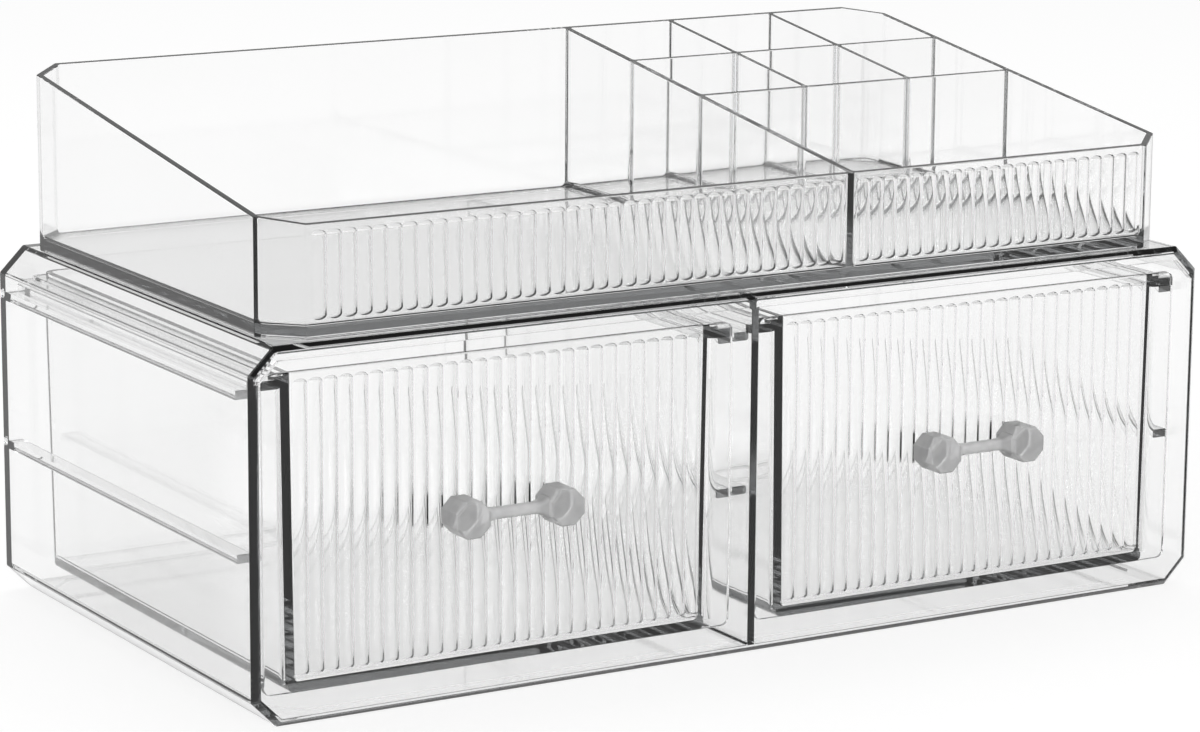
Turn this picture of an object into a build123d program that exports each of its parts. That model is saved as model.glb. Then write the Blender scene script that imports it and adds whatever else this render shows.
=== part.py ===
from build123d import *
from math import sqrt
import os

# A clear stacking cosmetics organizer: an open-fronted case with two deep drawers hanging on
# rails, and a tray with a sloping rim that stands on top of the case.
# Millimetres, +Z up, the open front towards -Y. The origin lies on the surface that the case
# stands on, under the middle of the whole object.

os.makedirs("parts", exist_ok=True)

# ---- case: a sleeve with bevelled long edges, closed at the back
case_width = 320.0
case_depth = 170.0
case_height = 106.0
case_bevel = 7.6  # leg of the bevel along each long edge
case_wall = 2.4
case_floor = 2.4
case_roof = 2.4
case_back = 2.4
divider_wall = 2.4
lip_depth = 2.4  # stiffening lip below the front edge of the roof
lip_height = 4.1  # roof and lip together
mouth_bevel = 1.5  # along the outer edge of the open front

# ---- rails: ledges on both sides of each bay, at two levels
rail_width = 5.0
rail_thickness = 2.6
rail_round = 0.8
rail_setback = 11.0  # from the front of the case
rail_spacing = 45.6  # from the upper rails, for deep drawers, down to the ones for shallow drawers

# ---- drawers: deep boxes that hang on the upper rails
drawer_recess = 5.0  # front face behind the front of the case
drawer_back_gap = 2.2
drawer_side_gap = 10.3  # from the bay wall to the body at its rim
drawer_floor_gap = 5.2  # above the floor of the case
drawer_rim_gap = 4.5  # below the lip of the case
drawer_wall = 2.0
drawer_floor = 2.4
drawer_draft = 1.0  # how much each side leans in from rim to floor
drawer_front_round = 1.5
drawer_rear_round = 4.0
drawer_foot_round = 1.2
flange_gap = 2.2  # from the bay wall to the hanging flange
flange_thickness = 2.6
flange_drop = 1.9  # below the drawer rim
flange_round = 2.0
shoulder_width = 3.6  # raised strip of the flange along the body
shoulder_height = 0.9
plate_gap = 3.2  # from the bay wall to the front plate
plate_round = 2.4
plate_edge = 0.4
plate_root = 3.0  # hollow round between the plate and the sides of the body
running_gap = 0.3  # between a flange and its rail

# ---- reeds: the half-round ribs on the inside of the front panels
reed_pitch = 4.65
reed_rise = 0.7
drawer_reed_margin = 2.2  # plain band below the drawer rim
tray_reed_margin = 1.8  # plain band below the tray rim

# ---- handles: two eight-sided knobs joined by a bar
knob_radius = 5.7  # to the corners
knob_length = 10.4
knob_edge = 0.6
knob_spacing = 30.0
handle_drop = 0.3  # below the middle of the drawer front
bar_height = 3.2
bar_depth = 4.0
bar_round = 1.0

# ---- tray: eight-sided in plan, with a rim that slopes down to the front
tray_side_inset = 8.2
tray_front_inset = 3.4
tray_back_inset = 1.1
tray_bevel = 10.5
tray_front_height = 31.5
tray_back_height = 54.4
tray_wall = 2.0
tray_floor = 2.6
tray_foot_height = 0.6
tray_foot_width = 3.0
tray_foot_round = 0.5
tray_corner_round = 0.8
tray_bay_width = 184.0  # the large compartment
tray_divider_wall = 2.1
grid_wall = 1.6
grid_columns = 3
grid_rows = 2
cell_depth = 38.6

# ---- stacking: a ridge on the roof stands inside the tray's foot, or inside another case's recess
ridge_clearance = 0.2  # from the top of the ridge to the tray's floor
ridge_width = 1.6
ridge_gap = 0.5
recess_depth = 1.0

# ---- places worked out from the sizes above
handle_reach = max(knob_length - drawer_recess, 0)  # in front of the case
front_y = -(case_depth - handle_reach) / 2
back_y = front_y + case_depth
bay_width = (case_width - 2 * case_wall - divider_wall) / 2
bay_x = (divider_wall + bay_width) / 2
panel_y = front_y + drawer_recess
drawer_back_y = back_y - case_back - drawer_back_gap
drawer_floor_level = case_floor + drawer_floor_gap
drawer_rim_level = case_height - lip_height - drawer_rim_gap
flange_level = drawer_rim_level - flange_drop - flange_thickness
rail_top = flange_level - running_gap
handle_level = (drawer_floor_level + drawer_rim_level) / 2 - handle_drop
tray_width = case_width - 2 * tray_side_inset
tray_front_y = front_y + tray_front_inset
tray_back_y = back_y - tray_back_inset
tray_depth = tray_back_y - tray_front_y
tray_y = (tray_front_y + tray_back_y) / 2
tray_inside_level = case_height + tray_foot_height + tray_floor
ridge_height = tray_foot_height - ridge_clearance


def inner_bevel(outer_bevel, wall):
    """Leg of a 45 degree bevel one wall inside another."""
    return max(outer_bevel - wall * (2 - sqrt(2)), 0.1)


def plan_outline(inset, level):
    """The tray's eight-sided outline, drawn in by an inset."""
    with BuildSketch(Plane.XY.offset(level)) as outline:
        with Locations((0, tray_y)):
            Rectangle(tray_width - 2 * inset, tray_depth - 2 * inset)
        chamfer(outline.vertices(), length=inner_bevel(tray_bevel, inset))
    return outline.sketch


def reed_row(left, right, wall_y, wall, level):
    """Section of a row of reeds on a wall's inner face, as many whole ones as fit."""
    count = int((right - left) / reed_pitch)
    start = (left + right - count * reed_pitch) / 2
    end = start + count * reed_pitch
    with BuildSketch(Plane.XY.offset(level)) as row:
        with BuildLine():
            for number in range(count):
                x = start + number * reed_pitch
                ThreePointArc((x, wall_y), (x + reed_pitch / 2, wall_y + reed_rise), (x + reed_pitch, wall_y))
            Polyline((end, wall_y), (end, wall_y - wall / 2), (start, wall_y - wall / 2), (start, wall_y))
        make_face()
    return row.sketch


# ---- case
with BuildPart() as case:
    with BuildSketch(Plane.XZ.offset(-front_y)) as sleeve:
        with Locations((0, case_height / 2)):
            Rectangle(case_width, case_height)
        chamfer(sleeve.vertices(), length=case_bevel)
    extrude(amount=-case_depth)
    chamfer(case.faces().sort_by(Axis.Y)[0].edges(), length=mouth_bevel)

    # the mouth, as deep as the lip, and then the full height behind it
    for start, depth, ceiling in (
        (0, lip_depth, lip_height),
        (lip_depth, case_depth - case_back - lip_depth, case_roof),
    ):
        with BuildSketch(Plane.XZ.offset(-front_y - start)) as mouth:
            with Locations((0, (case_floor + case_height - ceiling) / 2)):
                Rectangle(case_width - 2 * case_wall, case_height - case_floor - ceiling)
            chamfer(mouth.vertices(), length=inner_bevel(case_bevel, case_wall))
        extrude(amount=-depth, mode=Mode.SUBTRACT)

    with BuildSketch(Plane.XZ.offset(-front_y)):
        with Locations((0, case_height / 2)):
            Rectangle(divider_wall, case_height - case_floor - case_roof + case_wall)
    extrude(amount=-(case_depth - case_back / 2))

    # each rail's root is sunk into its wall, so only its free edge shows its rounding
    with BuildSketch(Plane.XZ.offset(-front_y - rail_setback)):
        for top in (rail_top, rail_top - rail_spacing):
            level = top - rail_thickness / 2
            with Locations((0, level)):
                RectangleRounded(2 * rail_width + divider_wall, rail_thickness, rail_round)
            outer_x = case_width / 2 - (case_wall / 2 + case_wall + rail_width) / 2
            with Locations((-outer_x, level), (outer_x, level)):
                RectangleRounded(case_wall / 2 + rail_width, rail_thickness, rail_round)
    extrude(amount=-(case_depth - rail_setback - case_back / 2))

    extrude(plan_outline(tray_foot_width + ridge_gap, case_height), amount=ridge_height)
    extrude(
        plan_outline(tray_foot_width + ridge_gap + ridge_width, case_height),
        amount=ridge_height,
        mode=Mode.SUBTRACT,
    )
    extrude(plan_outline(tray_foot_width, 0), amount=recess_depth, mode=Mode.SUBTRACT)

case.part.label = "case"
export_step(case.part, "parts/case.step")


# ---- drawers
def drawer_section(side, inset, level, lean):
    """Plan of a drawer's body at one level: the front stays upright, the other sides lean in."""
    width = bay_width - 2 * drawer_side_gap - 2 * inset - 2 * lean
    length = drawer_back_y - panel_y - 2 * inset - lean
    with BuildSketch(Plane.XY.offset(level)) as section:
        with Locations((side * bay_x, panel_y + inset + length / 2)):
            Rectangle(width, length)
        corners = section.vertices().sort_by(Axis.Y)
        fillet(corners[:2], radius=max(drawer_front_round - inset, 0.3))
        fillet(section.vertices().sort_by(Axis.Y)[-2:], radius=max(drawer_rear_round - inset, 0.3))
    return section.sketch


def lean_at(level):
    """How far a drawer's side has come in at one level."""
    return drawer_draft * (drawer_rim_level - level) / (drawer_rim_level - drawer_floor_level)


def root_section(side, level):
    """Plan of the hollow rounds that join the front plate to the body's sides."""
    half = bay_width / 2 - drawer_side_gap - lean_at(level)
    start_y = panel_y + drawer_wall / 2
    back_y_here = panel_y + drawer_wall
    middle = plate_root * (1 - sqrt(0.5))
    with BuildSketch(Plane.XY.offset(level)) as section:
        with BuildLine():
            Polyline(
                (side * bay_x - half - plate_root, back_y_here),
                (side * bay_x - half - plate_root, start_y),
                (side * bay_x + half + plate_root, start_y),
                (side * bay_x + half + plate_root, back_y_here),
            )
            for way in (-1, 1):
                ThreePointArc(
                    (side * bay_x + way * (half + plate_root), back_y_here),
                    (side * bay_x + way * (half + middle), back_y_here + middle),
                    (side * bay_x + way * half, back_y_here + plate_root),
                )
            Line(
                (side * bay_x - half, back_y_here + plate_root),
                (side * bay_x + half, back_y_here + plate_root),
            )
        make_face()
    return section.sketch


def make_drawer(side, label):
    inside_level = drawer_floor_level + drawer_floor
    inside_lean = lean_at(inside_level)
    half_body = bay_width / 2 - drawer_side_gap
    with BuildPart() as drawer:
        loft([
            drawer_section(side, 0, drawer_floor_level, drawer_draft),
            drawer_section(side, 0, drawer_rim_level, 0),
        ])
        fillet(drawer.faces().sort_by(Axis.Z)[0].edges(), radius=drawer_foot_round)

        with BuildSketch(Plane.XZ.offset(-panel_y)):
            with Locations((side * bay_x, (drawer_floor_level + drawer_rim_level) / 2)):
                RectangleRounded(
                    bay_width - 2 * plate_gap, drawer_rim_level - drawer_floor_level, plate_round
                )
        extrude(amount=-drawer_wall)
        fillet(drawer.faces().sort_by(Axis.Y)[0].edges(), radius=plate_edge)
        loft([root_section(side, drawer_floor_level + plate_edge), root_section(side, flange_level)])

        with BuildSketch(Plane.XY.offset(flange_level)):
            with Locations((side * bay_x, (panel_y + drawer_wall + drawer_back_y) / 2)):
                RectangleRounded(
                    bay_width - 2 * flange_gap, drawer_back_y - panel_y - drawer_wall, flange_round
                )
        extrude(amount=flange_thickness)
        with BuildSketch(Plane.XY.offset(flange_level + flange_thickness)):
            with Locations((side * bay_x, (panel_y + drawer_wall + drawer_back_y) / 2)):
                RectangleRounded(
                    2 * (half_body + shoulder_width),
                    drawer_back_y - panel_y - drawer_wall,
                    flange_round,
                )
        extrude(amount=shoulder_height)

        loft(
            [
                drawer_section(side, drawer_wall, inside_level, inside_lean),
                drawer_section(side, drawer_wall, drawer_rim_level, 0),
            ],
            mode=Mode.SUBTRACT,
        )

        half_row = half_body - drawer_wall
        row = reed_row(
            side * bay_x - half_row,
            side * bay_x + half_row,
            panel_y + drawer_wall,
            drawer_wall,
            inside_level - drawer_floor / 2,
        )
        extrude(row, amount=drawer_rim_level - drawer_reed_margin - inside_level + drawer_floor / 2)
    drawer.part.label = label
    export_step(drawer.part, "parts/" + label + ".step")
    return drawer


drawer_left = make_drawer(-1, "drawer_left")
drawer_right = make_drawer(1, "drawer_right")


# ---- handles
def make_handle(side, label):
    with BuildPart() as handle:
        with BuildSketch(Plane.XZ.offset(-panel_y)):
            with Locations(
                (side * bay_x - knob_spacing / 2, handle_level),
                (side * bay_x + knob_spacing / 2, handle_level),
            ):
                RegularPolygon(knob_radius, 8, rotation=22.5)
        extrude(amount=knob_length)
        ends = handle.faces().filter_by(Axis.Y)
        chamfer(ends.edges(), length=knob_edge)

        with BuildSketch(Plane.YZ.offset(side * bay_x - knob_spacing / 2)):
            with Locations((panel_y - knob_length / 2, handle_level)):
                RectangleRounded(bar_depth, bar_height, bar_round)
        extrude(amount=knob_spacing)
    handle.part.label = label
    export_step(handle.part, "parts/" + label + ".step")
    return handle


handle_left = make_handle(-1, "handle_left")
handle_right = make_handle(1, "handle_right")


# ---- tray
tray_inner_left = -tray_width / 2 + tray_wall
tray_inner_right = tray_width / 2 - tray_wall
tray_inner_back = tray_back_y - tray_wall
tray_divider_x = tray_inner_left + tray_bay_width + tray_divider_wall / 2
grid_left = tray_divider_x + tray_divider_wall / 2
cell_width = (tray_inner_right - grid_left - (grid_columns - 1) * grid_wall) / grid_columns
grid_front_y = tray_inner_back - grid_rows * (cell_depth + grid_wall)
rim_plane = Plane(
    origin=(0, tray_front_y, case_height + tray_front_height),
    x_dir=(1, 0, 0),
    z_dir=(0, tray_front_height - tray_back_height, tray_depth),
)

with BuildPart() as tray:
    extrude(plan_outline(0, case_height), amount=tray_back_height)
    fillet(tray.edges().filter_by(Axis.Z), radius=tray_corner_round)
    fillet(tray.faces().sort_by(Axis.Z)[0].edges(), radius=tray_foot_round)
    extrude(plan_outline(tray_foot_width, case_height), amount=tray_foot_height, mode=Mode.SUBTRACT)

    with BuildSketch(Plane.XY.offset(tray_inside_level)) as compartments:
        add(plan_outline(tray_wall, 0))
        with Locations((tray_divider_x, tray_y)):
            Rectangle(tray_divider_wall, tray_depth, mode=Mode.SUBTRACT)
        for row in range(grid_rows):
            y = tray_inner_back - (row + 1) * cell_depth - (row + 0.5) * grid_wall
            with Locations(((grid_left + tray_inner_right) / 2, y)):
                Rectangle(tray_inner_right - grid_left, grid_wall, mode=Mode.SUBTRACT)
        for column in range(1, grid_columns):
            x = grid_left + column * cell_width + (column - 0.5) * grid_wall
            with Locations((x, (grid_front_y + tray_inner_back) / 2)):
                Rectangle(grid_wall, tray_inner_back - grid_front_y, mode=Mode.SUBTRACT)
    extrude(amount=tray_back_height, mode=Mode.SUBTRACT)

    straight = tray_width / 2 - tray_wall - inner_bevel(tray_bevel, tray_wall)
    for left, right in ((-straight, tray_divider_x - tray_divider_wall / 2), (grid_left, straight)):
        row = reed_row(left, right, tray_front_y + tray_wall, tray_wall, tray_inside_level - tray_floor / 2)
        extrude(row, amount=tray_front_height - tray_reed_margin - tray_foot_height - tray_floor / 2)

    split(bisect_by=rim_plane, keep=Keep.BOTTOM)

tray.part.label = "tray"
export_step(tray.part, "parts/tray.step")
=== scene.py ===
import math

import bmesh
import bpy
from mathutils import Euler, Matrix, Vector


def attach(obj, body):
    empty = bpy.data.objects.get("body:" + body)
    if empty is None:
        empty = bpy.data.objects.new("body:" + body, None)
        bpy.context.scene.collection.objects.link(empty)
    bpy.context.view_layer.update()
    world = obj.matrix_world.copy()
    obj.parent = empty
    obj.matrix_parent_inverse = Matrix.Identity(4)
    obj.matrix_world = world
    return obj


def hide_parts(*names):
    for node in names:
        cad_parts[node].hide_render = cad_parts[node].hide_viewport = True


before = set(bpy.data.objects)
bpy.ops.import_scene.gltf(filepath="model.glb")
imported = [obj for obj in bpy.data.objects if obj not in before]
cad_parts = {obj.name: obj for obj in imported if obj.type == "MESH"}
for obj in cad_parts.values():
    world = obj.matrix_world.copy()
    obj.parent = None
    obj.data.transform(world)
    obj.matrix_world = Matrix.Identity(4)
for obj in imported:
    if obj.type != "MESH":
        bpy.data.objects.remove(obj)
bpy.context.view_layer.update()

scene = bpy.context.scene
print("loaded the organizer's frame:", ", ".join(sorted(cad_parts)))

# the camera stands where the photograph was taken from
camera = {
    "place": (-0.6452, -1.0778, 0.3402),  # metres, from the middle of the resting surface
    "turn": (77.835, -0.396, -30.724),  # degrees about X, Y and Z
    "lens": 127.3,
    "sensor": 36.0,
    "nearest": 0.05,  # metres: what lies closer, or beyond the farthest, isn't drawn
    "farthest": 60,
}

camData = bpy.data.cameras.new("productCamera")
camData.lens = camera["lens"]
camData.sensor_width = camera["sensor"]
camData.clip_start = camera["nearest"]
camData.clip_end = camera["farthest"]
cam = bpy.data.objects.new("productCamera", camData)
cam.location = camera["place"]
cam.rotation_euler = Euler([math.radians(a) for a in camera["turn"]], "XYZ")
scene.collection.objects.link(cam)
scene.camera = cam
print("camera placed")

# a white table, a softly graded room and three soft boxes, in metres and watts
studio = {
    "tableSize": 14.0,
    "tableDrop": 0.0002,  # keeps the table just clear of the case
    "tableColor": 0.3,
    "tableGlow": 0.8,  # what the camera sees on top of the lit table, so that it comes out white
    "roomLow": 1.0,  # brightness near the horizon
    "roomHigh": 0.32,  # brightness overhead
    "gradeStart": 0.12,  # how high the fall in brightness starts and ends, as shares of the way up
    "gradeEnd": 0.85,
    "aim": (0, 0, 0.08),  # what the soft boxes point at
    # place, width and height, power
    "topBox": ((0.3, 0.5, 1.8), (1.4, 0.9), 9.0),
    "sideBox": ((-1.6, -0.6, 1.1), (0.7, 1.2), 5.0),
    "frontBox": ((-1.0, -2.1, 0.9), (1.2, 0.8), 14.0),
    "bounces": 40,  # light crosses many walls here
    "throughBounces": 34,
    "glossyBounces": 20,
}


def addNode(tree, kind, at=(0, 0)):
    node = tree.nodes.new(kind)
    node.location = at
    return node


def seenDirectly(tree, at):
    # 1 for rays from the camera, or through or off a glossy surface
    path = addNode(tree, "ShaderNodeLightPath", at)
    first = addNode(tree, "ShaderNodeMath", (at[0] + 200, at[1]))
    first.operation = "MAXIMUM"
    second = addNode(tree, "ShaderNodeMath", (at[0] + 400, at[1]))
    second.operation = "MAXIMUM"
    tree.links.new(path.outputs["Is Camera Ray"], first.inputs[0])
    tree.links.new(path.outputs["Is Glossy Ray"], first.inputs[1])
    tree.links.new(first.outputs[0], second.inputs[0])
    tree.links.new(path.outputs["Is Transmission Ray"], second.inputs[1])
    return second.outputs[0]


def makeTable():
    half = studio["tableSize"] / 2
    mesh = bpy.data.meshes.new("table")
    corners = [(-half, -half, 0), (half, -half, 0), (half, half, 0), (-half, half, 0)]
    mesh.from_pydata(corners, [], [(0, 1, 2, 3)])
    table = bpy.data.objects.new("table", mesh)
    table.location.z = -studio["tableDrop"]
    scene.collection.objects.link(table)
    mat = bpy.data.materials.new("whiteTable")
    mat.use_nodes = True
    tree = mat.node_tree
    tree.nodes.clear()
    out = addNode(tree, "ShaderNodeOutputMaterial", (800, 0))
    lit = addNode(tree, "ShaderNodeBsdfDiffuse", (200, 100))
    tone = studio["tableColor"]
    lit.inputs["Color"].default_value = (tone, tone, tone, 1)
    glow = addNode(tree, "ShaderNodeEmission", (400, -100))
    strength = addNode(tree, "ShaderNodeMath", (200, -100))
    strength.operation = "MULTIPLY"
    strength.inputs[1].default_value = studio["tableGlow"]
    tree.links.new(seenDirectly(tree, (-500, -100)), strength.inputs[0])
    tree.links.new(strength.outputs[0], glow.inputs["Strength"])
    both = addNode(tree, "ShaderNodeAddShader", (600, 0))
    tree.links.new(lit.outputs[0], both.inputs[0])
    tree.links.new(glow.outputs[0], both.inputs[1])
    tree.links.new(both.outputs[0], out.inputs["Surface"])
    mesh.materials.append(mat)


def makeRoom():
    world = bpy.data.worlds.new("studioRoom")
    scene.world = world
    world.use_nodes = True
    tree = world.node_tree
    tree.nodes.clear()
    out = addNode(tree, "ShaderNodeOutputWorld", (900, 0))
    sky = addNode(tree, "ShaderNodeBackground", (700, 0))
    where = addNode(tree, "ShaderNodeTexCoord", (-400, 200))
    split = addNode(tree, "ShaderNodeSeparateXYZ", (-200, 200))
    grade = addNode(tree, "ShaderNodeMapRange", (0, 200))
    grade.interpolation_type = "SMOOTHSTEP"
    grade.inputs["From Min"].default_value = studio["gradeStart"]
    grade.inputs["From Max"].default_value = studio["gradeEnd"]
    grade.inputs["To Min"].default_value = studio["roomLow"]
    grade.inputs["To Max"].default_value = studio["roomHigh"]
    tree.links.new(where.outputs["Generated"], split.inputs[0])
    tree.links.new(split.outputs["Z"], grade.inputs["Value"])
    path = addNode(tree, "ShaderNodeLightPath", (0, -200))
    white = addNode(tree, "ShaderNodeMix", (300, 0))
    white.inputs["B"].default_value = 1.0
    tree.links.new(path.outputs["Is Camera Ray"], white.inputs["Factor"])
    tree.links.new(grade.outputs["Result"], white.inputs["A"])
    tree.links.new(white.outputs["Result"], sky.inputs["Strength"])
    tree.links.new(sky.outputs[0], out.inputs["Surface"])


def softBox(name, place, size, power):
    data = bpy.data.lights.new(name, "AREA")
    data.shape = "RECTANGLE"
    data.size, data.size_y = size
    data.energy = power
    lamp = bpy.data.objects.new(name, data)
    lamp.location = place
    look = Vector(studio["aim"]) - Vector(place)
    lamp.rotation_euler = look.to_track_quat("-Z", "Y").to_euler()
    scene.collection.objects.link(lamp)


makeTable()
makeRoom()
for box in ("topBox", "sideBox", "frontBox"):
    softBox(box, *studio[box])
scene.view_settings.view_transform = "Standard"
scene.cycles.max_bounces = studio["bounces"]
scene.cycles.transmission_bounces = studio["throughBounces"]
scene.cycles.glossy_bounces = studio["glossyBounces"]
print("studio lit")

# clear plastic for the mouldings, cloudy plastic for the handles
clearPlastic = {
    "tint": (0.999, 0.999, 0.999, 1),
    "streakTint": (0.988, 0.988, 0.987, 1),  # where the melt has flowed
    "ior": 1.49,
    "smoothest": 0.0,
    "dullest": 0.012,
    "rippleScale": 16.0,  # per metre
    "rippleHeight": 0.00003,
    "greyColor": (0.66, 0.665, 0.668, 1),
    "greyDensity": 28.0,  # per metre: long ways inside a wall turn dark
}
cloudyPlastic = {
    "tint": (0.99, 0.99, 0.99, 1),
    "streakTint": (0.88, 0.88, 0.885, 1),
    "ior": 1.3,
    "smoothest": 0.05,
    "dullest": 0.22,
    "rippleScale": 260.0,
    "rippleHeight": 0.00004,
    "clearness": 0.4,
}
meltFlow = {  # the slow waves that both plastics keep from the mould
    "detail": 2.0,
    "roughness": 0.4,
    "streaksFrom": 0.35,
    "streaksTo": 0.7,
}


def makeMouldedGroup():
    group = bpy.data.node_groups.new("mouldedSurface", "ShaderNodeTree")
    face = group.interface
    for name, kind, value in (
        ("Tint", "NodeSocketColor", (1, 1, 1, 1)),
        ("Streak Tint", "NodeSocketColor", (0.9, 0.9, 0.9, 1)),
        ("Smoothest", "NodeSocketFloat", 0.0),
        ("Dullest", "NodeSocketFloat", 0.02),
        ("Scale", "NodeSocketFloat", 20.0),
        ("Height", "NodeSocketFloat", 0.0001),
    ):
        face.new_socket(name, in_out="INPUT", socket_type=kind).default_value = value
    face.new_socket("Color", in_out="OUTPUT", socket_type="NodeSocketColor")
    face.new_socket("Roughness", in_out="OUTPUT", socket_type="NodeSocketFloat")
    face.new_socket("Normal", in_out="OUTPUT", socket_type="NodeSocketVector")
    nodes, link = group.nodes, group.links.new
    given = nodes.new("NodeGroupInput")
    out = nodes.new("NodeGroupOutput")
    where = nodes.new("ShaderNodeTexCoord")
    flow = nodes.new("ShaderNodeTexNoise")
    flow.inputs["Detail"].default_value = meltFlow["detail"]
    flow.inputs["Roughness"].default_value = meltFlow["roughness"]
    link(where.outputs["Object"], flow.inputs["Vector"])
    link(given.outputs["Scale"], flow.inputs["Scale"])
    streaks = nodes.new("ShaderNodeMapRange")
    streaks.interpolation_type = "SMOOTHSTEP"
    streaks.inputs["From Min"].default_value = meltFlow["streaksFrom"]
    streaks.inputs["From Max"].default_value = meltFlow["streaksTo"]
    link(flow.outputs["Fac"], streaks.inputs["Value"])
    mix = nodes.new("ShaderNodeMix")
    mix.data_type = "RGBA"
    link(streaks.outputs["Result"], mix.inputs["Factor"])
    # of the mix node's sockets, the colours are 6 and 7 on its way in, and 2 on its way out
    link(given.outputs["Tint"], mix.inputs[6])
    link(given.outputs["Streak Tint"], mix.inputs[7])
    link(mix.outputs[2], out.inputs["Color"])
    dull = nodes.new("ShaderNodeMapRange")
    link(flow.outputs["Fac"], dull.inputs["Value"])
    link(given.outputs["Smoothest"], dull.inputs["To Min"])
    link(given.outputs["Dullest"], dull.inputs["To Max"])
    link(dull.outputs["Result"], out.inputs["Roughness"])
    bump = nodes.new("ShaderNodeBump")
    bump.inputs["Strength"].default_value = 1.0
    link(given.outputs["Height"], bump.inputs["Distance"])
    link(flow.outputs["Fac"], bump.inputs["Height"])
    link(bump.outputs["Normal"], out.inputs["Normal"])
    for number, node in enumerate(nodes):
        node.location = (number * 180 - 800, (number % 3) * -160)
    return group


def mouldedMaterial(name, finish, moulded, clearness):
    mat = bpy.data.materials.new(name)
    mat.use_nodes = True
    tree = mat.node_tree
    shader = tree.nodes["Principled BSDF"]
    shader.inputs["IOR"].default_value = finish["ior"]
    shader.inputs["Transmission Weight"].default_value = clearness
    surface = addNode(tree, "ShaderNodeGroup", (-300, 200))
    surface.node_tree = moulded
    for socket, key in (
        ("Tint", "tint"), ("Streak Tint", "streakTint"), ("Smoothest", "smoothest"),
        ("Dullest", "dullest"), ("Scale", "rippleScale"), ("Height", "rippleHeight"),
    ):
        surface.inputs[socket].default_value = finish[key]
    tree.links.new(surface.outputs["Color"], shader.inputs["Base Color"])
    tree.links.new(surface.outputs["Roughness"], shader.inputs["Roughness"])
    tree.links.new(surface.outputs["Normal"], shader.inputs["Normal"])
    if "greyDensity" in finish:
        grey = addNode(tree, "ShaderNodeVolumeAbsorption", (0, -300))
        grey.inputs["Color"].default_value = finish["greyColor"]
        grey.inputs["Density"].default_value = finish["greyDensity"]
        tree.links.new(grey.outputs[0], tree.nodes["Material Output"].inputs["Volume"])
    return mat


moulded = makeMouldedGroup()
clear = mouldedMaterial("clearPlastic", clearPlastic, moulded, 1.0)
cloudy = mouldedMaterial("cloudyPlastic", cloudyPlastic, moulded, cloudyPlastic["clearness"])
for name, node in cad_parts.items():
    node.data.materials.clear()
    node.data.materials.append(cloudy if name.startswith("handle") else clear)
print("plastics mixed")

# reeds: a row of round hollows with arched ends, cut into the inside of a front wall
reeds = {
    "pitch": 4.65,  # millimetres, as are all sizes below
    "rise": 0.7,  # how deep a hollow is
    "archLength": 1.4,  # how far from its ends a hollow starts to run out
    "lift": -0.05,  # leaves a narrow land between two hollows
    "sunk": 0.3,  # how far the cutting block stands out of the wall
    "segments": 12,  # for each hollow
    "archRows": 8,
}


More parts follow.
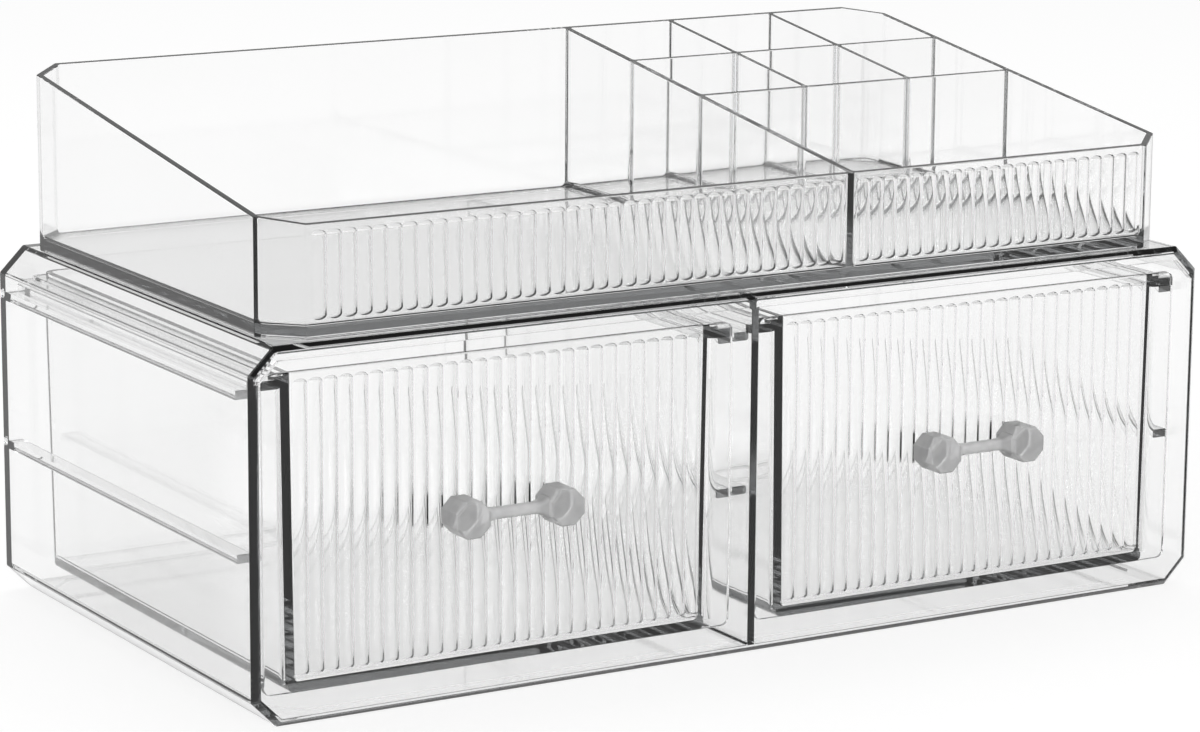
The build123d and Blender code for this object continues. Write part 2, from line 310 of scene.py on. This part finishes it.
def makeReedTree():
    tree = bpy.data.node_groups.new("reedRow", "GeometryNodeTree")
    face = tree.interface
    face.new_socket("Geometry", in_out="INPUT", socket_type="NodeSocketGeometry")
    sockets = {}
    for name, kind in (
        ("Count", "NodeSocketInt"),
        ("Segments", "NodeSocketInt"),
        ("Arch Rows", "NodeSocketInt"),
        ("Pitch", "NodeSocketFloat"),
        ("Rise", "NodeSocketFloat"),
        ("Height", "NodeSocketFloat"),
        ("Arch Length", "NodeSocketFloat"),
        ("Lift", "NodeSocketFloat"),
        ("Sunk", "NodeSocketFloat"),
        ("Material", "NodeSocketMaterial"),
    ):
        sockets[name] = face.new_socket(name, in_out="INPUT", socket_type=kind).identifier
    face.new_socket("Geometry", in_out="OUTPUT", socket_type="NodeSocketGeometry")
    nodes, link = tree.nodes, tree.links.new
    given = nodes.new("NodeGroupInput")
    out = nodes.new("NodeGroupOutput")

    def maths(operation, a, b=None, c=None):
        node = nodes.new("ShaderNodeMath")
        node.operation = operation
        for slot, value in enumerate((a, b, c)):
            if value is None:
                continue
            if isinstance(value, (int, float)):
                node.inputs[slot].default_value = value
            else:
                link(value, node.inputs[slot])
        return node.outputs[0]

    count, archRows = given.outputs["Count"], given.outputs["Arch Rows"]
    pitch, rise = given.outputs["Pitch"], given.outputs["Rise"]
    archLength = given.outputs["Arch Length"]
    block = nodes.new("GeometryNodeMeshCube")
    block.inputs["Size"].default_value = (1, 1, 1)
    block.inputs["Vertices Y"].default_value = 2
    columns = maths("MULTIPLY_ADD", count, given.outputs["Segments"], 1)
    link(columns, block.inputs["Vertices X"])
    link(maths("MULTIPLY_ADD", archRows, 2, 2), block.inputs["Vertices Z"])
    place = nodes.new("GeometryNodeInputPosition")
    split = nodes.new("ShaderNodeSeparateXYZ")
    link(place.outputs[0], split.inputs[0])
    along = maths("ADD", split.outputs["X"], 0.5)
    inHollow = maths("FRACT", maths("MULTIPLY", along, count))
    across = maths("MULTIPLY", maths("SUBTRACT", inHollow, 0.5), pitch)
    # half the rows of vertices lie in the arch at the foot, half in the one at the top
    up = maths("ADD", split.outputs["Z"], 0.5)
    row = maths("ROUND", maths("MULTIPLY", up, maths("MULTIPLY_ADD", archRows, 2, 1)))
    isTop = maths("GREATER_THAN", row, maths("ADD", archRows, 0.5))
    isFoot = maths("SUBTRACT", 1.0, isTop)
    footShare = maths("SUBTRACT", 1.0, maths("DIVIDE", row, archRows))
    footShare = maths("MINIMUM", footShare, isFoot)
    topShare = maths("DIVIDE", maths("SUBTRACT", row, maths("ADD", archRows, 1)), archRows)
    topShare = maths("MULTIPLY", topShare, isTop)
    share = maths("MAXIMUM", maths("MAXIMUM", topShare, footShare), 0.0)
    footLevel = maths("MULTIPLY", archLength, maths("SUBTRACT", 1.0, share))
    archFoot = maths("SUBTRACT", given.outputs["Height"], archLength)
    topLevel = maths("MULTIPLY_ADD", share, archLength, archFoot)
    level = maths("ADD", maths("MULTIPLY", topLevel, isTop), maths("MULTIPLY", footLevel, isFoot))
    # a hollow is an arc of a circle, shallower towards its ends
    halfSquared = maths("MULTIPLY", maths("MULTIPLY", pitch, pitch), 0.25)
    radius = maths("MULTIPLY_ADD", rise, rise, halfSquared)
    radius = maths("DIVIDE", radius, maths("MULTIPLY", rise, 2.0))
    leg = maths("SUBTRACT", maths("MULTIPLY", radius, radius), maths("MULTIPLY", across, across))
    arc = maths("SQRT", maths("MAXIMUM", leg, 0.0))
    arc = maths("SUBTRACT", arc, maths("SUBTRACT", radius, rise))
    lowered = maths("SUBTRACT", arc, maths("MULTIPLY", rise, maths("MULTIPLY", share, share)))
    lowered = maths("ADD", lowered, given.outputs["Lift"])
    isFront = maths("GREATER_THAN", split.outputs["Y"], 0.0)
    isRoot = maths("SUBTRACT", 1.0, isFront)
    root = maths("MULTIPLY", given.outputs["Sunk"], isRoot)
    depth = maths("SUBTRACT", maths("MULTIPLY", lowered, isFront), root)
    width = maths("MULTIPLY", split.outputs["X"], maths("MULTIPLY", count, pitch))
    joined = nodes.new("ShaderNodeCombineXYZ")
    link(width, joined.inputs["X"])
    link(depth, joined.inputs["Y"])
    link(level, joined.inputs["Z"])
    shape = nodes.new("GeometryNodeSetPosition")
    link(block.outputs["Mesh"], shape.inputs["Geometry"])
    link(joined.outputs[0], shape.inputs["Position"])
    solid = nodes.new("GeometryNodeRealizeInstances")
    link(shape.outputs[0], solid.inputs[0])
    paint = nodes.new("GeometryNodeSetMaterial")
    link(solid.outputs[0], paint.inputs["Geometry"])
    link(given.outputs["Material"], paint.inputs["Material"])
    link(paint.outputs[0], out.inputs[0])
    for number, node in enumerate(nodes):
        node.location = (number // 5 * 200, number % 5 * -180)
    return tree, sockets


reedTree, reedSockets = makeReedTree()


# how the pieces are built: all in millimetres, turned into metres when one is finished
building = {
    "millimetre": 0.001,
    "pastFace": 2,  # how far a cutting block reaches past the face that it opens
    "pastRim": 3,
    "overlap": 1,  # how far a joined block reaches into its neighbour
    "sharpAngle": 30,  # degrees: two faces that meet at more than this show an edge
}


def workIn(obj):
    bpy.context.view_layer.update()
    graph = bpy.context.evaluated_depsgraph_get()
    shape = bpy.data.meshes.new_from_object(obj.evaluated_get(graph), depsgraph=graph)
    obj.modifiers.clear()
    obj.data = shape


def softened(corners, radii, steps=5):
    # each corner of a convex outline becomes an arc
    if not radii:
        return corners
    if isinstance(radii, (int, float)):
        radii = [radii] * len(corners)
    line = []
    for number, corner in enumerate(corners):
        here = Vector(corner)
        before = (Vector(corners[number - 1]) - here).normalized()
        after = (Vector(corners[(number + 1) % len(corners)]) - here).normalized()
        half = before.angle(after) / 2
        radius = radii[number]
        middle = here + (before + after).normalized() * radius / math.sin(half)
        start = here + before * radius / math.tan(half) - middle
        end = here + after * radius / math.tan(half) - middle
        for step in range(steps + 1):
            share = step / steps
            line.append(tuple(middle + start.slerp(end, share) * radius))
    return line


def oblong(left, right, low, high, radii=0.0, steps=5):
    return softened([(left, low), (right, low), (right, high), (left, high)], radii, steps)


def eightSided(left, right, low, high, leg, radius=0.0, sides=(-1, 1)):
    # sides names the ends whose corners are cut off
    corners = []
    for x, y, wayX, wayY in (
        (left, low, 1, 1), (right, low, -1, 1), (right, high, -1, -1), (left, high, 1, -1),
    ):
        if -wayX in sides:
            pair = [(x, y + wayY * leg), (x + wayX * leg, y)]
            corners += pair if wayX == wayY else pair[::-1]
        else:
            corners.append((x, y))
    return softened(corners, radius, 3)


def flat(outline, level):
    return [(x, y, level) for x, y in outline]


def upright(outline, depth):
    return [(x, depth, z) for x, z in outline]


def loft(name, rings, hollow=False):
    # a closed solid through rings of equally many points
    # a hollow one has no end faces: its last ring is joined to its first
    mesh = bpy.data.meshes.new(name)
    bm = bmesh.new()
    rows = [[bm.verts.new(point) for point in ring] for ring in rings]
    size = len(rows[0])
    last = len(rows) if hollow else len(rows) - 1
    for number in range(last):
        low, high = rows[number], rows[(number + 1) % len(rows)]
        for k in range(size):
            bm.faces.new((low[k], low[(k + 1) % size], high[(k + 1) % size], high[k]))
    if not hollow:
        bm.faces.new(rows[0][::-1])
        bm.faces.new(rows[-1])
    bmesh.ops.recalc_face_normals(bm, faces=bm.faces)
    bm.to_mesh(mesh)
    bm.free()
    obj = bpy.data.objects.new(name, mesh)
    scene.collection.objects.link(obj)
    return obj


def carve(base, joins=(), cuts=()):
    for operation, tools in (("UNION", joins), ("DIFFERENCE", cuts)):
        for tool in tools:
            step = base.modifiers.new("carve", "BOOLEAN")
            step.operation = operation
            step.solver = "MANIFOLD"
            step.object = tool
    workIn(base)
    for tool in (*joins, *cuts):
        bpy.data.objects.remove(tool)
    return base


def quarter(width, steps=3):
    # (drawn in, further on) along a rounded edge, from the end face to the side
    turns = [math.radians(90 * step / steps) for step in range(steps + 1)]
    return [(width * (1 - math.sin(turn)), width * (1 - math.cos(turn))) for turn in turns]


def roundedEnds(low, high, lowRound, highRound, steps=3):
    # (level, drawn in) along a side that is rounded at both of its ends
    ends = [(low + on, inset) for inset, on in quarter(lowRound, steps)]
    return ends + [(high - on, inset) for inset, on in reversed(quarter(highRound, steps))]


def reedBlock(name, left, right, wallY, low, high):
    # as many whole hollows as fit between left and right, for the face of a wall that looks to +Y
    count = int((right - left) / reeds["pitch"] + 1e-6)
    seed = bpy.data.meshes.new(name)
    seed.from_pydata([(0, 0, 0)], [], [])
    obj = bpy.data.objects.new(name, seed)
    scene.collection.objects.link(obj)
    step = obj.modifiers.new("reeds", "NODES")
    step.node_group = reedTree
    for label, value in (
        ("Count", count), ("Segments", reeds["segments"]), ("Arch Rows", reeds["archRows"]),
        ("Pitch", reeds["pitch"]), ("Rise", reeds["rise"]), ("Height", high - low),
        ("Arch Length", reeds["archLength"]), ("Lift", reeds["lift"]), ("Sunk", reeds["sunk"]),
        ("Material", clear),
    ):
        step[reedSockets[label]] = value
    workIn(obj)
    place = Matrix.Translation(((left + right) / 2, wallY, low))
    obj.data.transform(place @ Matrix.Rotation(math.pi, 4, "Z"))
    return obj


def finishPiece(obj, material, bodyName, nodeName):
    obj.data.transform(Matrix.Scale(building["millimetre"], 4))
    obj.data.materials.clear()
    obj.data.materials.append(material)
    for face in obj.data.polygons:
        face.material_index = 0
        face.use_smooth = True
    obj.data.set_sharp_from_angle(angle=math.radians(building["sharpAngle"]))
    even = obj.modifiers.new("evenShading", "WEIGHTED_NORMAL")
    even.keep_sharp = True
    workIn(obj)
    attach(obj, bodyName)
    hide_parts(nodeName)
    print("made", obj.name, "with", len(obj.data.polygons), "faces")


# case, and the tray's sizes, which its ridge and recess follow
caseShape = {
    "left": -160.0, "right": 160.0, "front": -82.3, "back": 87.7, "height": 106.0,
    "bevel": 7.6, "wall": 2.4, "lipDepth": 2.4, "lipHeight": 4.1, "mouthBevel": 1.5,
    "railWidth": 5.0, "railThickness": 2.6, "railRound": 0.8, "railSetback": 11.0,
    "railTops": (92.6, 47.0),
    "ridgeHeight": 0.4, "ridgeInset": 3.5, "ridgeWidth": 1.6, "ridgeRoot": 0.5,
    "recessDepth": 1.0,
    "edge": 0.3, "mouthEdge": 0.2, "cornerRound": 1.0, "bayRound": 0.6,
    "mouthSlack": 0.4,  # how much of the edge the mouth's bevel is drawn on by
}
trayShape = {
    "left": -151.8, "right": 151.8, "front": -78.9, "back": 86.6, "foot": 106.0,
    "frontHeight": 31.5, "backHeight": 54.4, "bevel": 10.5, "cornerRound": 0.8, "footRound": 0.5,
    "wall": 2.0, "floorLevel": 109.2, "footHeight": 0.6, "footWidth": 3.0,
    "bayWidth": 184.0, "dividerWall": 2.1,
    "gridWall": 1.6, "columns": 3, "rows": 2, "cellDepth": 38.6,
    "innerRound": 1.8, "hollowRound": 0.9, "reedMargin": 1.8,
    "edge": 0.25,
}


def innerBevel(leg, wall):
    # the leg of a cut-off corner on the inside of a wall of even thickness
    return leg - wall * (2 - math.sqrt(2))


def trayPlan(inset, radius=0.0):
    t = trayShape
    return eightSided(
        t["left"] + inset, t["right"] - inset, t["front"] + inset, t["back"] - inset,
        innerBevel(t["bevel"], inset), radius,
    )


def makeCase():
    c = caseShape
    edge, bevel = c["edge"], c["mouthBevel"]
    slack = edge * c["mouthSlack"]
    front, wall = c["front"], c["wall"]
    profile = [
        (front, bevel + edge), (front + slack, bevel), (front + bevel, slack),
        (front + bevel + edge, 0),
    ] + [(c["back"] - on, inset) for inset, on in reversed(quarter(edge))]
    rings = []
    for depth, inset in profile:
        rings.append(upright(eightSided(
            c["left"] + inset, c["right"] - inset, inset, c["height"] - inset,
            innerBevel(c["bevel"], inset), c["cornerRound"]), depth))
    case = loft("caseShell", rings)

    joins, cuts = [], []
    for way in (-1, 1):
        near, far = way * wall / 2, way * (c["right"] - wall)
        low, high = min(near, far), max(near, far)
        mouth, lip = c["mouthEdge"], c["lipHeight"]
        profile = [(front - building["pastFace"], -mouth, lip)]
        for inset, on in quarter(mouth):
            profile.append((front + on, -inset, lip))
        profile += [
            (front + c["lipDepth"], 0, lip), (front + c["lipDepth"], 0, wall),
            (c["back"] - wall, 0, wall),
        ]
        rings = []
        for depth, inset, ceiling in profile:
            rings.append(upright(eightSided(
                low + inset, high - inset, wall + inset, c["height"] - ceiling - inset,
                innerBevel(c["bevel"], wall + inset), c["bayRound"], sides=(way,)), depth))
        cuts.append(loft("bay", rings))

        # a rail on the case's side, and one through the divider that serves both bays
        spans = [(way * (c["right"] - wall / 2), way * (c["right"] - wall - c["railWidth"]))]
        if way == -1:
            spans.append((-c["railWidth"] - wall / 2, c["railWidth"] + wall / 2))
        for top in c["railTops"]:
            foot = top - c["railThickness"]
            for ends in spans:
                rings = []
                for inset, on in quarter(edge):
                    outline = oblong(
                        min(ends) + inset, max(ends) - inset, foot + inset, top - inset,
                        c["railRound"] - inset, 4)
                    rings.append(upright(outline, front + c["railSetback"] + on))
                outline = oblong(min(ends), max(ends), foot, top, c["railRound"], 4)
                rings.append(upright(outline, c["back"] - wall / 2))
                joins.append(loft("rail", rings))

    outer, inner = trayPlan(c["ridgeInset"]), trayPlan(c["ridgeInset"] + c["ridgeWidth"])
    low, high = c["height"] - c["ridgeRoot"], c["height"] + c["ridgeHeight"]
    ring = [flat(outer, low), flat(outer, high), flat(inner, high), flat(inner, low)]
    joins.append(loft("ridge", ring, hollow=True))
    recess = trayPlan(trayShape["footWidth"])
    depths = (-building["pastFace"], c["recessDepth"])
    cuts.append(loft("recess", [flat(recess, depth) for depth in depths]))
    carve(case, cuts=cuts)
    carve(case, joins=joins)
    finishPiece(case, clear, "case", "case")


def hollowPlan(x0, x1, y0, y1, kind, inset):
    # where a hollow lies in a corner of the tray, it follows the wall's cut-off corner
    t = trayShape
    x0, x1, y0, y1 = x0 + inset, x1 - inset, y0 + inset, y1 - inset
    leg = innerBevel(t["bevel"], t["wall"] + inset)
    corners = [(x0, y0), (x1, y0), (x1, y1), (x0, y1)]
    if kind == "large":
        corners = [
            (x0, y0 + leg), (x0 + leg, y0), (x1, y0), (x1, y1), (x0 + leg, y1), (x0, y1 - leg),
        ]
    elif kind == "front":
        corners = [(x0, y0), (x1 - leg, y0), (x1, y0 + leg), (x1, y1), (x0, y1)]
    elif kind == "cornerCell":
        corners = [(x0, y0), (x1, y0), (x1, y1 - leg), (x1 - leg, y1), (x0, y1)]
    return softened(corners, t["hollowRound"], 3)


def makeTray():
    t = trayShape
    slope = (t["backHeight"] - t["frontHeight"]) / (t["back"] - t["front"])

    def underRim(outline, below):
        # the rim is one sloping plane
        lowest = t["foot"] + t["frontHeight"]
        return [(x, y, lowest + slope * (y - t["front"]) - below) for x, y in outline]

    rings = []
    for inset, on in quarter(t["footRound"]):
        rings.append(flat(trayPlan(inset, t["cornerRound"]), t["foot"] + on))
    for inset, on in reversed(quarter(t["edge"])):
        rings.append(underRim(trayPlan(inset, t["cornerRound"]), on))
    tray = loft("trayTub", rings)
    wall, edge = t["wall"], t["edge"]
    left, right = t["left"] + wall, t["right"] - wall
    front, back = t["front"] + wall, t["back"] - wall
    divider = left + t["bayWidth"]
    gridLeft = divider + t["dividerWall"]
    gridFront = back - t["rows"] * (t["cellDepth"] + t["gridWall"])
    cellWidth = (right - gridLeft - (t["columns"] - 1) * t["gridWall"]) / t["columns"]
    hollows = [(left, divider, front, back, "large"), (gridLeft, right, front, gridFront, "front")]
    for column in range(t["columns"]):
        for row in range(t["rows"]):
            x = gridLeft + column * (cellWidth + t["gridWall"])
            y = back - row * (t["cellDepth"] + t["gridWall"])
            kind = "cornerCell" if column == t["columns"] - 1 and row == 0 else "cell"
            hollows.append((x, x + cellWidth, y - t["cellDepth"], y, kind))
    foot = trayPlan(t["footWidth"])
    levels = (t["foot"] - building["pastFace"], t["foot"] + t["footHeight"])
    cuts = [loft("footHollow", [flat(foot, level) for level in levels])]
    for hollow in hollows:
        rings = []
        for inset, on in quarter(t["innerRound"], 4):
            rings.append(flat(hollowPlan(*hollow, inset), t["floorLevel"] + on))
        for inset, on in reversed(quarter(edge)):
            rings.append(underRim(hollowPlan(*hollow, -inset), on))
        rings.append(underRim(hollowPlan(*hollow, -edge), -building["pastRim"]))
        cuts.append(loft("hollow", rings))
    carve(tray, cuts=cuts)
    top = t["foot"] + t["frontHeight"] - t["reedMargin"]
    leg = innerBevel(t["bevel"], wall)
    foot = t["floorLevel"] + t["innerRound"]
    rows = [
        reedBlock("reedsLarge", left + leg, divider, front, foot, top),
        reedBlock("reedsSmall", gridLeft, right - leg, front, foot, top),
    ]
    carve(tray, cuts=rows)
    finishPiece(tray, clear, "tray", "tray")


# drawers: a hanging box with a wider front plate
drawerShape = {
    "bayX": 79.4, "bayWidth": 156.4, "front": -77.3, "back": 83.1, "floor": 7.6, "rim": 97.4,
    "sideGap": 10.3, "wall": 2.0, "floorThickness": 2.4, "draft": 1.0,
    "frontRound": 0.5, "rearRound": 4.0, "footRound": 1.2, "innerRound": 1.6,
    "plateGap": 3.2, "plateRound": 2.4, "plateEdge": 0.4,
    "plateRoot": 3.0, "rootSteps": 5, "rootSunk": 0.01,
    "flangeGap": 2.2, "flangeLevel": 92.9, "flangeThickness": 2.6, "flangeRound": 2.0,
    "flangeSunk": 0.1,
    "shoulderWidth": 3.6, "shoulderHeight": 0.9,
    "reedMargin": 2.2,
    "edge": 0.3,
}


def makeDrawer(way, name, bodyName):
    d = drawerShape
    edge = d["edge"]
    front, wall, rim, rearRound = d["front"], d["wall"], d["rim"], d["rearRound"]
    midX = way * d["bayX"]
    halfBay = d["bayWidth"] / 2
    halfBody = halfBay - d["sideGap"]

    def leanAt(level):
        # the box narrows towards its floor
        return d["draft"] * (rim - level) / (rim - d["floor"])

    def plan(level, inset, start, rear):
        reach = halfBody - inset - leanAt(level)
        radii = (d["frontRound"], d["frontRound"], rear - inset, rear - inset)
        back = d["back"] - inset - leanAt(level)
        return flat(oblong(midX - reach, midX + reach, start, back, radii), level)

    inPlate = front + building["overlap"]
    body = roundedEnds(d["floor"], rim, d["footRound"], edge)
    drawer = loft(name, [plan(level, inset, inPlate, rearRound) for level, inset in body])

    reach = halfBay - d["plateGap"]
    rings = []
    for depth, inset in roundedEnds(front, front + wall, d["plateEdge"], edge):
        rings.append(upright(oblong(
            midX - reach + inset, midX + reach - inset, d["floor"] + inset, rim - inset,
            d["plateRound"] - inset), depth))
    joins = [loft("plate", rings)]

    # hollow rounds between the box and its plate, which follow the lean of the sides
    root = d["plateRoot"]
    face = front + wall - d["rootSunk"]
    rings = []
    for level in (d["floor"] + d["plateRound"], d["flangeLevel"] + building["overlap"]):
        wide = halfBody - leanAt(level) + root
        curve = []
        for step in range(d["rootSteps"] + 1):
            turn = math.radians(90 * step / d["rootSteps"])
            curve.append((wide - root * math.sin(turn), face + root * (1 - math.cos(turn))))
        outline = [(midX - wide, inPlate), (midX + wide, inPlate)]
        outline += [(midX + x, y) for x, y in curve] + [(midX - x, y) for x, y in reversed(curve)]
        rings.append(flat(outline, level))
    joins.append(loft("root", rings))

    # the flange that runs on the rails, and the shoulder on top of it
    start = front + wall - d["flangeSunk"]
    top = d["flangeLevel"] + d["flangeThickness"]
    for reach, low, high in (
        (halfBay - d["flangeGap"], d["flangeLevel"], top),
        (halfBody + d["shoulderWidth"], top - building["overlap"], top + d["shoulderHeight"]),
    ):
        rings = []
        for level, inset in roundedEnds(low, high, edge, edge):
            rings.append(flat(oblong(
                midX - reach + inset, midX + reach - inset, start, d["back"] - inset,
                d["flangeRound"] - inset), level))
        joins.append(loft("flange", rings))

    inside = d["floor"] + d["floorThickness"]
    rings = []
    for inset, on in quarter(d["innerRound"], 4):
        rings.append(plan(inside + on, wall + inset, front + wall + inset, rearRound + inset))
    for inset, on in reversed(quarter(edge)):
        rings.append(plan(rim - on, wall - inset, front + wall - inset, rearRound))
    above = rim + building["pastRim"]
    rings.append(plan(above, wall - edge, front + wall - edge, rearRound))
    carve(drawer, joins=joins, cuts=[loft("hollow", rings)])
    row = reedBlock(
        name + "Reeds", midX - halfBody + wall, midX + halfBody - wall,
        front + wall, inside + d["innerRound"], rim - d["reedMargin"],
    )
    carve(drawer, cuts=[row])
    finishPiece(drawer, clear, bodyName, bodyName)


# handles: two eight-sided knobs and a bar that flares out towards them
handleShape = {
    "radius": 5.7, "length": 10.4, "edge": 0.7, "facetRound": 0.7, "spacing": 30.0, "level": 52.2,
    "facets": 8, "firstCorner": 22.5,  # degrees
    "barHeight": 3.2, "barDepth": 4.0, "barRound": 1.2,
    # how far out from the middle, and how many times as thick
    "barFlare": ((6.0, 1.0), (7.6, 1.12), (8.8, 1.4), (9.9, 1.9), (12.0, 2.0)),
    "flareInDepth": 0.6,  # how much of the flare goes to the bar's depth
}


def makeHandle(way, name, bodyName, nodeName):
    h = handleShape
    face = drawerShape["front"]
    centre = way * drawerShape["bayX"]
    profile = roundedEnds(0, h["length"], h["edge"], h["edge"], 4)
    turns = [math.radians(h["firstCorner"] + 360 / h["facets"] * k) for k in range(h["facets"])]
    knobs = []
    for side in (-1, 1):
        midX = centre + side * h["spacing"] / 2
        rings = []
        for out, inset in profile:
            reach = h["radius"] - inset
            corners = [
                (midX + reach * math.cos(turn), h["level"] + reach * math.sin(turn))
                for turn in turns
            ]
            rings.append(upright(softened(corners, h["facetRound"], 3), face - out))
        knobs.append(loft(name, rings))
    middle = face - h["length"] / 2
    rings = []
    for x, grown in [(-x, g) for x, g in reversed(h["barFlare"])] + list(h["barFlare"]):
        deep = h["barDepth"] / 2 * (1 + (grown - 1) * h["flareInDepth"])
        high = h["barHeight"] / 2 * grown
        outline = oblong(
            middle - deep, middle + deep, h["level"] - high, h["level"] + high, h["barRound"], 4)
        rings.append([(centre + x, y, z) for y, z in outline])
    bar = loft("bar", rings)
    handle = carve(knobs[0], joins=[knobs[1], bar])
    finishPiece(handle, cloudy, bodyName, nodeName)


makeCase()
makeTray()
makeDrawer(-1, "drawerLeft", "drawer_left")
makeDrawer(1, "drawerRight", "drawer_right")
makeHandle(-1, "handleLeft", "drawer_left", "handle_left")
makeHandle(1, "handleRight", "drawer_right", "handle_right")
